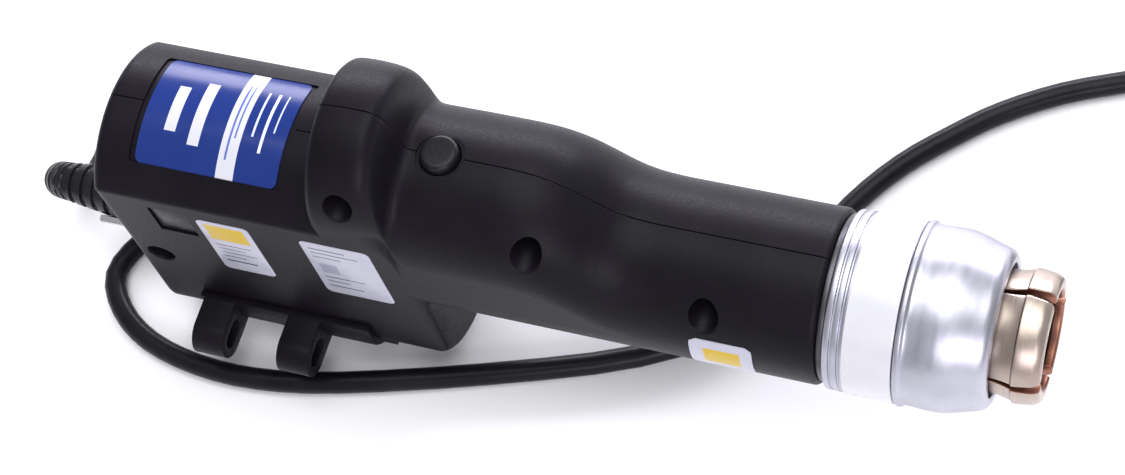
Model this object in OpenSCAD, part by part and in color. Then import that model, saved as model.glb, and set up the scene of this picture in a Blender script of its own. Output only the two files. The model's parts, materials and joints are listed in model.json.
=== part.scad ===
// Hand-held electric crimper for vial caps: a moulded two-half body with a
// motor belly, a raised collar, a round barrel and a four-finger crimping head.
// The body axis runs along +X towards the jaws; +Z is the spine of the body.

/* [Housing] */
// Radius of the round front barrel
barrel_r = 19.5; // [19.3:0.1:19.7]
// Wall thickness of the moulded shell
wall = 2.4; // [2:0.1:2.5]
// Radius of the motor belly under the body
belly_r = 21.5; // [21.3:0.1:21.7]
// Depth of the belly axis below the barrel axis
belly_drop = 24.5; // [24.4:0.1:24.6]

/* [Stand bracket] */
// Height of the barrel axis above the surface the base stands on
stand_h = 48; // [47.5:0.5:50]
// Half width of the flat base
base_half = 15; // [12:0.5:16]
// Distance of the lug tips from the middle plane
lug_reach = 33; // [32.5:0.5:35]
// Width of each lug slot
slot_w = 4.5; // [4:0.1:5]

/* [Drive] */
// Tooth module of the gear pair
gear_m = 0.8; // [0.8]
// Teeth on the motor pinion
pinion_teeth = 24; // [22:1:26]
// Radius of the drive screw
screw_r = 4; // [3.8:0.1:4]
// Travel of the push tube
travel = 6; // [4:0.5:6]

/* [Crimping head] */
// Radius of the mouth between the jaw hooks
mouth_r = 10.8; // [10.6:0.1:11]
// Distance of each jaw pivot from the axis
pivot_r = 10.5; // [10.4:0.1:10.6]
// Radius of the jaw pins
pin_r = 1; // [0.9:0.05:1]
// Radius of the bell at its bulge
bell_r = 20.1; // [20:0.05:20.3]

/* [Button] */
// Radius of the start button
button_r = 4.4; // [4:0.1:4.5]

/* [Power cable] */
// Outer diameter of the cable
cable_d = 5.4; // [5:0.1:5.6]

/* [Hidden] */
$fn = 72;
origin_x = 5;
gear_teeth = 61 - pinion_teeth;
gear_gap = gear_m * 61 / 2;
na = 8;
nb = 8;
floor_z = -stand_h;
screw_xz = [[-93.7, -8.4], [-37, 36], [2.5, 24.3], [40.5, 11.5]];
charcoal = [0.13, 0.12, 0.14];
steel = [0.62, 0.63, 0.65];
silver = [0.8, 0.81, 0.83];
tan_metal = [0.72, 0.63, 0.54];

// ---- helpers -------------------------------------------------------------
module place() translate([-origin_x, 0, stand_h]) children();
module xcyl(x1, x2, r, z = 0, y = 0)
  translate([x1, y, z]) rotate([0, 90, 0]) cylinder(h = x2 - x1, r = r);
module ycyl(y1, y2, r, x, z)
  translate([x, y1, z]) rotate([-90, 0, 0]) cylinder(h = y2 - y1, r = r);
module zcyl(z1, z2, r, x = 0, y = 0)
  translate([x, y, z1]) cylinder(h = z2 - z1, r = r);
// profile points are [radius, x], turned about the X axis
module xturn(p) rotate([0, 90, 0]) rotate([0, 0, 90]) rotate_extrude() polygon(p);
module box(a, b) translate(a) cube(b - a);

// ---- shell sections --------------------------------------------------------
// each station: x, crown radius, crown centre z, crown arc angle (0 = up to the
// flat side), side knee z, half width, belly radius, belly centre z, inner x
w0 = barrel_r;
bz = -belly_drop;
st = [
  [-100.7, 23.0, 7.4, 0, 8, w0 - 1.5, belly_r - 1.5, bz, -98.3],
  [-100.1, 24.1, 7.4, 0, 8, w0 - 0.5, belly_r - 0.5, bz, -98.0],
  [-98.9, 24.6, 7.4, 0, 8, w0, belly_r, bz, -97.0],
  [-45.0, 24.6, 7.4, 0, 8, w0, belly_r, bz, -42.8],
  [-44.2, 18.9, 26.3, 97, 18, w0, belly_r, bz, -42.0],
  [-43.4, 19.8, 27.2, 97, 18, w0, belly_r, bz, -41.4],
  [-40.0, 20.2, 27.8, 97, 18.5, w0, belly_r, bz, -40.0],
  [-37.0, 20.0, 28.3, 97, 18.5, w0, belly_r, bz, -37.0],
  [-34.0, 19.5, 28.8, 97, 18.5, w0, belly_r, bz, -35.0],
  [-31.8, 18.9, 28.9, 97, 18, w0, belly_r, bz, -34.0],
  [-30.4, 18.5, 28.1, 96, 17.5, w0, belly_r, bz, -32.8],
  [-29.6, 18.3, 25.6, 96, 16, w0, belly_r, bz, -32.0],
  [-29.2, 18.6, 20.6, 94, 11, w0, belly_r - 0.1, bz, -31.6],
  [-28.9, 19.0, 16.4, 91, 7, w0, belly_r - 0.3, bz, -31.3],
  [-28.4, 19.3, 14.7, 90, 5, w0, belly_r - 0.7, bz, -30.8],
  [-27.8, w0 - 0.1, 14.1, 90, 5, w0, belly_r - 1.3, bz, -30.2],
  [-27.5, w0, 13.95, 90, 5, w0, w0 + 0.2, bz + 1, -29.9],
  [-27.3, w0, 13.9, 90, 5, w0, w0, -3.5, -29.7],
  [-26.0, w0, 13.9, 90, 5, w0, w0, -1.2, -28.4],
  [-24.0, w0, 13.9, 90, 5, w0, w0, -0.2, -26.0],
  [-10.0, w0, 14.0, 90, 5, w0, w0, -0.2, -10.0],
  [-2.0, w0, 13.6, 90, 5, w0, w0, -0.2, -2.0],
  [3.0, w0, 12.5, 90, 5, w0, w0, -0.2, 3.0],
  [7.0, w0, 10.7, 90, 4, w0, w0, -0.2, 7.0],
  [11.0, w0, 7.7, 90, 3, w0, w0, -0.2, 11.0],
  [15.0, w0, 4.2, 90, 1.5, w0, w0, -0.2, 15.0],
  [19.0, w0, 1.6, 90, 0.5, w0, w0, -0.2, 19.0],
  [23.0, w0, 0.5, 90, 0.1, w0, w0, -0.2, 23.0],
  [28.0, w0, 0.2, 90, 0, w0, w0, -0.2, 28.0],
  [63.6, w0, 0.2, 90, 0, w0, w0, -0.2, 63.6],
  [64.6, w0 - 0.4, 0.2, 90, 0, w0 - 0.4, w0 - 0.4, -0.2, 64.6],
  [65.0, w0 - 0.8, 0.2, 90, 0, w0 - 0.8, w0 - 0.8, -0.2, 65.0]];
function crown_end(s, d) = s[3] == 0 ? asin((s[5] - d) / (s[1] - d)) : s[3];
// inner walls keep the full width of the shell near its rolled ends
function inner_w(s) = w0 - wall;
function half_ring(s, d) =
  let(r = s[1] - d, w = s[5] - d, b = s[6] - d, a = crown_end(s, d),
      b0 = asin(min(1, w / b)))
  concat([for (k = [0:na]) [-r * sin(a * k / na), s[2] + r * cos(a * k / na)]],
         [[-w, s[4]]],
         [for (k = [0:nb]) let(q = b0 * (1 - k / nb)) [-b * sin(q), s[7] - b * cos(q)]]);
function inner_station(s) =
  s[0] < -98.5 ? [s[0], 24.6, s[2], s[3], s[4], w0, belly_r, s[7], s[8]] :
  s[0] > 63.5 ? [s[0], w0, s[2], s[3], s[4], w0, w0, s[7], s[8]] : s;
np = na + nb + 3;
nst = len(st);
module half_shell() {
  outer = [for (s = st) for (p = half_ring(s, 0)) [s[0], p[0], p[1]]];
  inner = [for (s = st) let(q = inner_station(s)) for (p = half_ring(q, wall)) [s[8], p[0], p[1]]];
  no = nst * np;
  polyhedron(points = concat(outer, inner), convexity = 8, faces = concat(
    [for (i = [0:nst - 2]) for (k = [0:np - 2]) [i * np + k, (i + 1) * np + k, (i + 1) * np + k + 1]],
    [for (i = [0:nst - 2]) for (k = [0:np - 2]) [i * np + k, (i + 1) * np + k + 1, i * np + k + 1]],
    [for (i = [0:nst - 2]) for (k = [0:np - 2]) [no + i * np + k, no + (i + 1) * np + k + 1, no + (i + 1) * np + k]],
    [for (i = [0:nst - 2]) for (k = [0:np - 2]) [no + i * np + k, no + i * np + k + 1, no + (i + 1) * np + k + 1]],
    [for (k = [0:np - 2]) let(a = (nst - 1) * np + k, b = no + (nst - 1) * np + k) [a, b, b + 1, a + 1]],
    [[for (k = [0:np - 1]) k]],
    [[for (k = [0:np - 1]) no + np - 1 - k]],
    [for (i = [0:nst - 2]) [i * np, no + i * np, no + (i + 1) * np, (i + 1) * np]],
    [for (i = [0:nst - 2]) let(k = np - 1) [i * np + k, (i + 1) * np + k, no + (i + 1) * np + k, no + i * np + k]],
    [[0, np - 1, no + np - 1, no]]));
}
// everything cut from the outside of both halves
module shell_cuts() {
  difference() {
    intersection() { xcyl(-91.6, -54.4, 26, 7.4); box([-92, -14.2, 20], [-54, 14.2, 40]); }
    xcyl(-92, -54, 24.1, 7.4);
  }
  zcyl(28, 40, button_r + 0.3, -20);
  zcyl(33.0, 40, button_r + 1, -20);
  xcyl(-104, -95, 6.2, bz);
  for (x = [-82, -52]) for (y = [-7, 7]) zcyl(-50, -40, 1.5, x, y);
}
module boss_right(p) difference() {
  ycyl(-p[2], 0, 4.4, p[0], p[1]);
  ycyl(-30, 1, 1.6, p[0], p[1]);
  ycyl(-30, -6, 3.25, p[0], p[1]);
}

// ---- housing ---------------------------------------------------------------
// depth at which each screw boss meets the curved wall
boss_y = [18.4, 16.0, 14.8, 14.2];
module housing_right() color(charcoal) place() {
  difference() {
    union() {
      half_shell();
      for (i = [0:3]) ycyl(-boss_y[i], 0, i % 2 == 1 ? 3.8 : 4, screw_xz[i][0], screw_xz[i][1]);
    }
    shell_cuts();
    for (p = screw_xz) { ycyl(-30, 1, 1.6, p[0], p[1]); ycyl(-30, -6, 3.25, p[0], p[1]); }
    box([-88.2, -22, 7.2], [-78.6, -18.5, 18.3]);
  }
}
module housing_left() color(charcoal) place() {
  difference() {
    union() {
      mirror([0, 1, 0]) half_shell();
      for (i = [0:3]) ycyl(0, boss_y[i], i % 2 == 1 ? 3.8 : 4, screw_xz[i][0], screw_xz[i][1]);
    }
    shell_cuts();
    for (p = screw_xz) ycyl(-1, 11, 1.5, p[0], p[1]);
  }
}
module housing_screws() color([0.3, 0.3, 0.32]) place()
  for (p = screw_xz) difference() {
    union() { ycyl(-8.2, -6, 2.8, p[0], p[1]); ycyl(-6, 10, 1.45, p[0], p[1]); }
    translate([p[0], -7.4, p[1]]) rotate([90, 0, 0]) cylinder(h = 2, r = 1.4, $fn = 6);
  }

// ---- stand bracket -----------------------------------------------------------
module lug(x1, x2) difference() {
  union() {
    box([x1, 17, -37], [x2, lug_reach - 5.2, -26.6]);
    xcyl(x1, x2, 5.2, -31.8, lug_reach - 5.2);
  }
  for (s = [-1, 1]) xcyl(x1 - 1, x2 + 1, slot_w / 2, -31.8, 27 + 1.4 * s);
  box([x1 - 1, 25.6, -31.8 - slot_w / 2], [x2 + 1, 28.4, -31.8 + slot_w / 2]);
}
module saddle_bracket() color(charcoal) place() difference() {
  union() {
    intersection() { xcyl(-89, -45.5, 23.3, bz); box([-90, -21.2, -47.8], [-45, 21.2, -26.4]); }
    box([-89, -base_half, floor_z], [-45.5, base_half, -38]);
    for (m = [0, 1]) mirror([0, m, 0]) { lug(-88, -80); lug(-66, -58); }
  }
  intersection() { xcyl(-90, -45, belly_r + 0.1, bz); box([-91, -w0 - 0.1, -50], [-44, w0 + 0.1, -20]); }
  for (x = [-82, -52]) for (y = [-7, 7]) { zcyl(-50, -40, 1.6, x, y); zcyl(-50, -46.4, 2.9, x, y); }
}
module bracket_screws() color([0.3, 0.3, 0.32]) place()
  for (x = [-82, -52]) for (y = [-7, 7]) {
    zcyl(-47.7, -46.4, 2.7, x, y);
    zcyl(-46.4, -42.4, 1.45, x, y);
  }

// ---- labels and cover ----------------------------------------------------------
module top_label() color([0.12, 0.2, 0.62]) place() difference() {
  intersection() { xcyl(-90.4, -55.6, 24.4, 7.4); box([-91, -13.5, 20], [-55, 13.5, 40]); }
  xcyl(-92, -54, 24.15, 7.4);
}
module side_plate(x1, x2, z1, z2) box([x1, -w0 - 0.22, z1], [x2, -w0 - 0.02, z2]);
module rating_label() color([0.86, 0.86, 0.93]) place() side_plate(-76.6, -63.7, -7.7, 17.4);
module approval_label() color([0.86, 0.86, 0.93]) place() side_plate(-51.2, -34.4, -8.9, 17.6);
module barrel_label() color([0.9, 0.9, 0.94]) place() difference() {
  intersection() { xcyl(37, 51.5, w0 + 0.35); box([36, -25, -5.2], [52, -10, 6.6]); }
  xcyl(36, 53, w0 + 0.05);
}
module port_cover() color([0.1, 0.1, 0.11]) place() box([-88, -19.0, 7.4], [-78.8, -18.55, 18.1]);

// ---- button, switch, board -------------------------------------------------------
module start_button() color([0.1, 0.1, 0.11]) place() {
  translate([-20, 0, 0]) rotate_extrude() polygon([[0, 29.8], [button_r, 29.8], [button_r, 34.3],
    [button_r - 0.7, 35.0], [0, 35.2]]);
  zcyl(28.9, 29.8, 5.3, -20);
}
module coil_spring(r, wire, h, turns) {
  ns = 8 * turns;
  nr = 6;
  pts = [for (i = [0:ns]) let(t = 360 * turns * i / ns)
    for (k = [0:nr - 1]) let(c = wire * cos(60 * k), s = wire * sin(60 * k))
      [(r + c) * cos(t), (r + c) * sin(t), wire + (h - 2 * wire) * i / ns + s]];
  polyhedron(points = pts, convexity = 6, faces = concat(
    [for (i = [0:ns - 1]) for (k = [0:nr - 1]) let(a = i * nr + k, b = i * nr + (k + 1) % nr)
      each [[a, a + nr, b + nr], [a, b + nr, b]]],
    [[for (k = [0:nr - 1]) k]], [[for (k = [0:nr - 1]) ns * nr + nr - 1 - k]]));
}
module button_spring() color(steel) place() translate([-20, 0, 24.6]) coil_spring(3, 0.3, 4.2, 3);
module start_switch() color([0.15, 0.15, 0.17]) place() {
  box([-25.5, -5.2, 16.9], [-14.5, 5.2, 24.5]);
  zcyl(24.5, 26.8, 1.3, -20);
}
module control_board() place() {
  color([0.1, 0.35, 0.2]) box([-86, -13, 4], [-52, 13, 5.6]);
  color([0.15, 0.15, 0.17]) { box([-84, -10, 5.6], [-72, 2, 13]); box([-68, -11, 5.6], [-60, 11, 8]); }
  color(steel) for (y = [-6, 6]) zcyl(5.6, 17, 3.6, -56.5, y);
}

// ---- drive ------------------------------------------------------------------------
function gear_pts(n, m, turn) = let(r = n * m / 2, p = 360 / n) [for (i = [0:n - 1])
  for (q = [[-0.27, -1.15], [-0.10, 0.85], [0.10, 0.85], [0.27, -1.15]])
    let(a = turn + (i + q[0]) * p, s = r + q[1] * m) [s * cos(a), s * sin(a)]];
module gear(n, turn, bore, x1, x2, z) translate([x1, 0, z]) rotate([0, 90, 0])
  linear_extrude(x2 - x1) difference() { polygon(gear_pts(n, gear_m, turn)); circle(r = bore); }
module motor() color(steel) place() {
  xcyl(-88, -58, 16.5, -gear_gap);
  xcyl(-89.2, -88, 6, -gear_gap);
  for (y = [-9, 9]) box([-89.4, y - 1.5, -32], [-88, y + 1.5, -30]);
}
module gearhead() color([0.45, 0.46, 0.48]) place() difference() {
  union() { xcyl(-58, -48, 16.5, -gear_gap); xcyl(-48, -45.2, 6, -gear_gap); }
  xcyl(-53, -44, 2.06, -gear_gap);
}
module output_shaft() color(steel) place() xcyl(-52.5, -36.5, 2, -gear_gap);
module motor_pinion() color([0.7, 0.6, 0.35]) place() gear(pinion_teeth, 180, 2, -44, -38, -gear_gap);
module gear_plate() color([0.5, 0.51, 0.53]) place() difference() {
  union() {
    xcyl(-48, -45.5, 16.8, -gear_gap);
    xcyl(-48, -45.5, 16.8);
    box([-48, -16.8, -gear_gap], [-45.5, 16.8, 0]);
  }
  xcyl(-49, -45, 6.05, -gear_gap);
  xcyl(-49, -45, 8.02);
}
module drive_screw() color(silver) place() { xcyl(-51.5, -45, 3); xcyl(-45, 44, screw_r); }
module drive_gear() color([0.7, 0.6, 0.35]) place() gear(gear_teeth, 180 / gear_teeth, screw_r, -44, -38, 0);
module rear_bearing() color(steel) place() difference() { xcyl(-50.5, -45.5, 8); xcyl(-51, -45, 3.05); }
module bearing_block() color([0.5, 0.51, 0.53]) place() difference() {
  xcyl(-27, -18, 16.7);
  xcyl(-28, -20, 8.02);
  xcyl(-21, -17, 5);
  xcyl(-25, -17, 1.5, -12.5);
}
module front_bearing() color(steel) place() difference() { xcyl(-27, -20, 8); xcyl(-28, -19, screw_r + 0.06); }
module guide_rod() color(silver) place() xcyl(-25, 54, 1.5, -12.5);
module drive_nut() color([0.75, 0.65, 0.35]) place() difference() {
  union() { xcyl(4, 8, 15.2); xcyl(8, 20, 8); }
  xcyl(3, 21, screw_r + 0.06);
  xcyl(3, 9, 1.56, -12.5);
}
module push_tube() color(steel) place() difference() { xcyl(20, 80, 7); xcyl(19, 81, 4.6); }
module guide_bushing() color([0.5, 0.51, 0.53]) place() difference() {
  xcyl(48, 54, 16.7);
  xcyl(47, 55, 7.06);
  xcyl(47, 55, 1.5, -12.5);
}
module cam_cone() color(silver) place()
  xturn([[3, 76], [4.6, 76], [4.6, 80], [8.55, 80], [7.05, 90], [3, 90]]);

// ---- crimping head --------------------------------------------------------------------
module head_adapter() color(silver) place()
  xturn([[13, 56], [16.7, 56], [16.7, 65.1], [18.6, 65.1], [18.6, 66.4], [16.9, 66.4], [16.9, 80], [13, 80]]);
module head_sleeve() color(silver) place()
  xturn([[16.9, 66.4], [19.5, 66.4], [19.9, 66.8], [19.9, 68.0], [19.5, 68.2], [19.5, 68.6], [19.95, 68.8],
    [19.95, 69.8], [19.55, 70.0], [19.55, 70.4], [19.95, 70.6], [19.95, 81.9], [16.9, 81.9]]);
module size_band() color([0.93, 0.93, 0.95]) place() xturn([[19.96, 71], [20.15, 71], [20.15, 81.7], [19.96, 81.7]]);
module head_bell() color(silver) place()
  xturn([[17.05, 82], [bell_r + 0.1, 82], [bell_r + 0.3, 82.3], [bell_r + 0.3, 83.2], [bell_r - 0.2, 83.7],
    [bell_r - 0.3, 85], [bell_r - 0.25, 87], [bell_r, 89], [bell_r, 91], [bell_r - 0.4, 93], [bell_r - 1, 95],
    [bell_r - 1.6, 97], [bell_r - 1.95, 98.5], [bell_r - 2.2, 99.5], [bell_r - 2.6, 100.4], [bell_r - 3.2, 101.1],
    [bell_r - 3.9, 101.5], [14.9, 101.5], [14.7, 101.3], [14.7, 99.5], [17.05, 99.5]]);
module around(a) rotate([a, 0, 0]) children();
jaw_angles = [30, 120, 210, 300];
module jaw_holder() color([0.55, 0.56, 0.58]) place() difference() {
  union() {
    difference() { xcyl(92.5, 99.4, 17); xcyl(92, 100, 14); }
    for (a = jaw_angles) around(a) for (s = [-1, 1])
      translate([92.5, s * 5.35 - 1, 8.5]) cube([6.9, 2, 6.5]);
    for (a = jaw_angles) around(a + 45) box([96.8, -1.5, 5], [99.4, 1.5, 15]);
    xcyl(96.8, 99.4, 7.4);
  }
  for (a = jaw_angles) around(a) ycyl(-7, 7, pin_r, 96, pivot_r);
  xcyl(96, 100, 2.06);
}
module jaw_pins() color(steel) place() for (a = jaw_angles) around(a) ycyl(-6.3, 6.3, pin_r, 96, pivot_r);
module finger_half(s) translate([96, 0, 0]) rotate([s * 45, 0, 0]) rotate([0, -4.05, 0])
  translate([-60, -60, 0.12]) cube([120, 120, 60]);
module jaw(a) color(tan_metal) place() around(a) difference() {
  union() {
    intersection() {
      xturn([[11.6, 100.2], [13.5, 100.2], [13.5, 102.4], [14.0, 104.6], [14.5, 106], [14.8, 106.2], [14.4, 110],
        [13.5, 112], [mouth_r + 0.3, 112], [mouth_r, 111.6], [mouth_r, 110.2], [11.6, 109.4]]);
      finger_half(1);
      finger_half(-1);
    }
    ycyl(-4, 4, 2.3, 96, pivot_r);
    box([96, -4, pivot_r], [100.6, 4, 12.8]);
    box([98.2, -4, 11.2], [101, 4, 12.9]);
    box([87, -2.5, 8.9], [96.5, 2.5, 10.7]);
    ycyl(-2.5, 2.5, 1.5, 87, 9.2);
  }
  ycyl(-5, 5, pin_r + 0.05, 96, pivot_r);
}
module jaw_1() jaw(jaw_angles[0]);
module jaw_2() jaw(jaw_angles[1]);
module jaw_3() jaw(jaw_angles[2]);
module jaw_4() jaw(jaw_angles[3]);
module ejector() color(steel) place() { xcyl(78, 105.6, 2); xcyl(105.5, 107, 9.3); }
module ejector_spring() color(steel) place() translate([99.6, 0, 0]) rotate([0, 90, 0]) coil_spring(2.9, 0.35, 5.7, 4);

// ---- power side -------------------------------------------------------------------------
module power_socket() color([0.12, 0.12, 0.13]) place() difference() {
  union() { xcyl(-100.7, -93, 6.1, bz); xcyl(-102, -100.7, 7.6, bz); }
  xcyl(-103, -98, 4.6, bz);
}
// direction in which the elbow of the plug turns, seen from behind
elbow_turn = 23;
module power_plug() color([0.09, 0.09, 0.1]) place() {
  xcyl(-104, -98.2, 4.5, bz);
  xcyl(-116, -102.2, 7.2, bz);
  xturn_at(bz, [[0, -130.2], [5.0, -130.2], [6.8, -116], [0, -116]]);
  // flat latch bar along the lower side
  translate([0, 0, bz]) around(116) translate([-121.5, -2.6, 5.6]) cube([17, 5.2, 2.5]);
  translate([-130.2, 0, bz]) around(elbow_turn) {
    translate([0, 0, -6.3]) rotate([90, 0, 0]) rotate([0, 0, 90])
      rotate_extrude(angle = 90) translate([6.3, 0]) circle(r = 4.8);
    zcyl(-10.2, -6.3, 4.3, -6.3);
  }
}
module xturn_at(z, p) translate([0, 0, z]) xturn(p);

// ---- cable ------------------------------------------------------------------------------
cz = floor_z + cable_d / 2;
route = [[-136.5, 3.2, -32.8], [-136.5, 5.6, -38], [-136.6, 10, -42.4], [-136.8, 16, -44.8],
  [-137, 24, cz], [-133.5, 35, cz], [-125, 42, cz], [-113, 43, cz], [-103.5, 37, cz],
  [-99.5, 26, cz], [-102, 15, cz], [-109.5, 5.5, cz], [-118, -3.5, cz], [-121.5, -13.7, cz],
  [-116, -22.6, cz], [-106, -28.8, cz], [-92, -32, cz], [-76, -32.2, cz], [-55.5, -28.6, cz],
  [-20, -18.2, cz], [14, -5.8, cz], [34, 8, cz], [45, 26, cz], [53, 43, cz], [62, 56, cz],
  [72, 66, cz], [82, 74.5, cz], [95, 82.5, cz], [109, 88.5, cz], [122, 93.8, cz], [135, 99, cz]];
function cat(p0, p1, p2, p3, t) = 0.5 * ((2 * p1) + (p2 - p0) * t
  + (2 * p0 - 5 * p1 + 4 * p2 - p3) * t * t + (3 * p1 - p0 - 3 * p2 + p3) * t * t * t);
function along(p, n) = let(m = len(p) - 1) concat([for (i = [0:m - 1]) for (j = [0:n - 1])
  cat(p[max(0, i - 1)], p[i], p[i + 1], p[min(m, i + 2)], j / n)], [p[m]]);
module tube_along(p, r, n) {
  m = len(p) - 1;
  pts = [for (i = [0:m]) let(t0 = p[min(m, i + 1)] - p[max(0, i - 1)], t = t0 / norm(t0),
      s0 = cross(t, abs(t[2]) > 0.9 ? [1, 0, 0] : [0, 0, 1]), s = s0 / norm(s0), u = cross(s, t))
    for (k = [0:n - 1]) p[i] + r * (cos(360 * k / n) * s + sin(360 * k / n) * u)];
  polyhedron(points = pts, convexity = 10, faces = concat(
    [for (i = [0:m - 1]) for (k = [0:n - 1]) let(a = i * n + k, b = i * n + (k + 1) % n)
      each [[a, b + n, a + n], [a, b, b + n]]],
    [[for (k = [0:n - 1]) n - 1 - k]], [[for (k = [0:n - 1]) m * n + k]]));
}
// the coil lies to the right of the run, its outer turn tangent to the run
coil_r = 30;
coil_c = [161.1, 71.4];
module cable() color([0.05, 0.05, 0.06]) place() tube_along(along(route, 2), cable_d / 2, 10);
// the lead leaves the outer turn on a tangent and runs down into the plug
plug_off = -24;
module cable_coil() color([0.05, 0.05, 0.06]) place() translate([coil_c[0], coil_c[1], floor_z]) {
  rotate_extrude() translate([coil_r - 1.5 * cable_d, 0]) square([3 * cable_d, 2 * cable_d]);
  tube_along([for (k = [0:6]) let(t = k / 6) [coil_r + cable_d, -3 + (plug_off + 2) * t,
    1.5 * cable_d - 0.02 + (6 - 1.5 * cable_d) * t * t * (3 - 2 * t)]], cable_d / 2, 16);
}
module supply_plug() color([0.09, 0.09, 0.1]) place()
  translate([coil_c[0] + coil_r + cable_d, coil_c[1] + plug_off, floor_z + 6]) {
    ycyl(-14, 0, 3.8, 0, 0);
    ycyl(-36, -14, 6, 0, 0);
    ycyl(-46, -36, 2.8, 0, 0);
  }

housing_right();
housing_left();
housing_screws();
saddle_bracket();
bracket_screws();
top_label();
rating_label();
approval_label();
barrel_label();
port_cover();
start_button();
button_spring();
start_switch();
control_board();
motor();
gearhead();
output_shaft();
motor_pinion();
gear_plate();
drive_screw();
drive_gear();
rear_bearing();
front_bearing();
bearing_block();
guide_rod();
drive_nut();
push_tube();
guide_bushing();
cam_cone();
head_adapter();
head_sleeve();
size_band();
head_bell();
jaw_holder();
jaw_pins();
jaw_1();
jaw_2();
jaw_3();
jaw_4();
ejector();
ejector_spring();
power_socket();
power_plug();
cable();
cable_coil();
supply_plug();
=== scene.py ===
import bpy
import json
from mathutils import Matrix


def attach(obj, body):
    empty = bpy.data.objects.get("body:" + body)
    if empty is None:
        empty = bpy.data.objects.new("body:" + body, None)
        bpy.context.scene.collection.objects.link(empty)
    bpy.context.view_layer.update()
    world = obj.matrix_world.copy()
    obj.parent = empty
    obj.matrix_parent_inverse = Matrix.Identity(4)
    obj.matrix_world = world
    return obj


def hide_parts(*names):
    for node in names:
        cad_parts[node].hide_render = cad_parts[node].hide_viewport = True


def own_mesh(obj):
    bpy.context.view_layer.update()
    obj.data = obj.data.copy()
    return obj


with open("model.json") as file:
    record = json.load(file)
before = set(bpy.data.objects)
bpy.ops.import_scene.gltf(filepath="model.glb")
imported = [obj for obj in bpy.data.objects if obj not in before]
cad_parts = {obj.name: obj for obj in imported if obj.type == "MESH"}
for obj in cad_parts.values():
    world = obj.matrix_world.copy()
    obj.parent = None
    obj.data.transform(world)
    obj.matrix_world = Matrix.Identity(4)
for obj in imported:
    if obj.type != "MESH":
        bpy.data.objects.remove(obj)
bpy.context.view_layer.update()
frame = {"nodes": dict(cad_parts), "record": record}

import json
import math

import bmesh
import bpy
import numpy as np
from mathutils import Matrix, Vector

NODES = frame["nodes"]
OX, OZ = 5.0, 48.0          # tool axes to row frame, millimetres
RAD = math.pi / 180.0


def P(x, y, z):
    return ((x - OX) / 1000.0, y / 1000.0, (z + OZ) / 1000.0)


# ------------------------------------------------------------------ camera
cam_data = bpy.data.cameras.new("cam")
cam_data.sensor_fit = "HORIZONTAL"
cam_data.sensor_width = 36.0
cam_data.lens = 2662.52 / 1125.0 * 36.0
cam_data.clip_start = 0.05
cam_data.clip_end = 20.0
cam = bpy.data.objects.new("cam", cam_data)
bpy.context.scene.collection.objects.link(cam)
right = Vector((0.93933276, 0.2908393, -0.18184189))
up = Vector((-0.18935538, 0.88172544, 0.43209349))
back = Vector((0.28600439, -0.37144683, 0.88330558))
rot = Matrix((right, up, back)).transposed()
cam.matrix_world = Matrix.Translation(Vector(P(171.365, -219.988, 525.409))) @ rot.to_4x4()
bpy.context.scene.camera = cam


# ------------------------------------------------------------------ materials
def new_mat(name):
    m = bpy.data.materials.new(name)
    m.use_nodes = True
    nt = m.node_tree
    bsdf = nt.nodes["Principled BSDF"]
    return m, nt, bsdf


def coords(nt, scale=(1, 1, 1)):
    tc = nt.nodes.new("ShaderNodeTexCoord")
    mp = nt.nodes.new("ShaderNodeMapping")
    mp.inputs["Scale"].default_value = scale
    nt.links.new(tc.outputs["Object"], mp.inputs["Vector"])
    return mp.outputs["Vector"]


def noise(nt, vec, scale, detail=4.0, rough=0.55):
    n = nt.nodes.new("ShaderNodeTexNoise")
    n.inputs["Scale"].default_value = scale
    n.inputs["Detail"].default_value = detail
    n.inputs["Roughness"].default_value = rough
    nt.links.new(vec, n.inputs["Vector"])
    return n.outputs["Fac"]


def ramp(nt, fac, stops):
    r = nt.nodes.new("ShaderNodeValToRGB")
    els = r.color_ramp.elements
    while len(els) < len(stops):
        els.new(0.5)
    for e, (p, c) in zip(els, stops):
        e.position = p
        e.color = (*c, 1.0)
    nt.links.new(fac, r.inputs["Fac"])
    return r.outputs["Color"]


def rng(nt, fac, a, b):
    m = nt.nodes.new("ShaderNodeMapRange")
    m.inputs["From Min"].default_value = 0.3
    m.inputs["From Max"].default_value = 0.7
    m.inputs["To Min"].default_value = a
    m.inputs["To Max"].default_value = b
    nt.links.new(fac, m.inputs["Value"])
    return m.outputs["Result"]


def bump(nt, fac, bsdf, strength, dist):
    b = nt.nodes.new("ShaderNodeBump")
    b.inputs["Strength"].default_value = strength
    b.inputs["Distance"].default_value = dist
    nt.links.new(fac, b.inputs["Height"])
    nt.links.new(b.outputs["Normal"], bsdf.inputs["Normal"])


def plastic(name, c_lo, c_hi, r_lo, r_hi, grain=1900.0, strength=0.35, dist=0.00006, spec=0.5):
    m, nt, b = new_mat(name)
    v = coords(nt)
    blotch = noise(nt, v, 45.0, 3.0)
    nt.links.new(ramp(nt, blotch, [(0.35, c_lo), (0.65, c_hi)]), b.inputs["Base Color"])
    fine = noise(nt, v, grain, 2.0, 0.5)
    nt.links.new(rng(nt, fine, r_lo, r_hi), b.inputs["Roughness"])
    b.inputs["Specular IOR Level"].default_value = spec
    bump(nt, fine, b, strength, dist)
    return m


def metal(name, c_lo, c_hi, r_lo, r_hi, along=(9000.0, 60.0, 60.0), strength=0.12, dist=0.00003):
    m, nt, b = new_mat(name)
    lines = noise(nt, coords(nt, along), 1.0, 3.0, 0.6)
    blotch = noise(nt, coords(nt), 90.0, 3.0)
    nt.links.new(ramp(nt, blotch, [(0.3, c_lo), (0.7, c_hi)]), b.inputs["Base Color"])
    nt.links.new(rng(nt, lines, r_lo, r_hi), b.inputs["Roughness"])
    b.inputs["Metallic"].default_value = 1.0
    bump(nt, lines, b, strength, dist)
    return m


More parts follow.
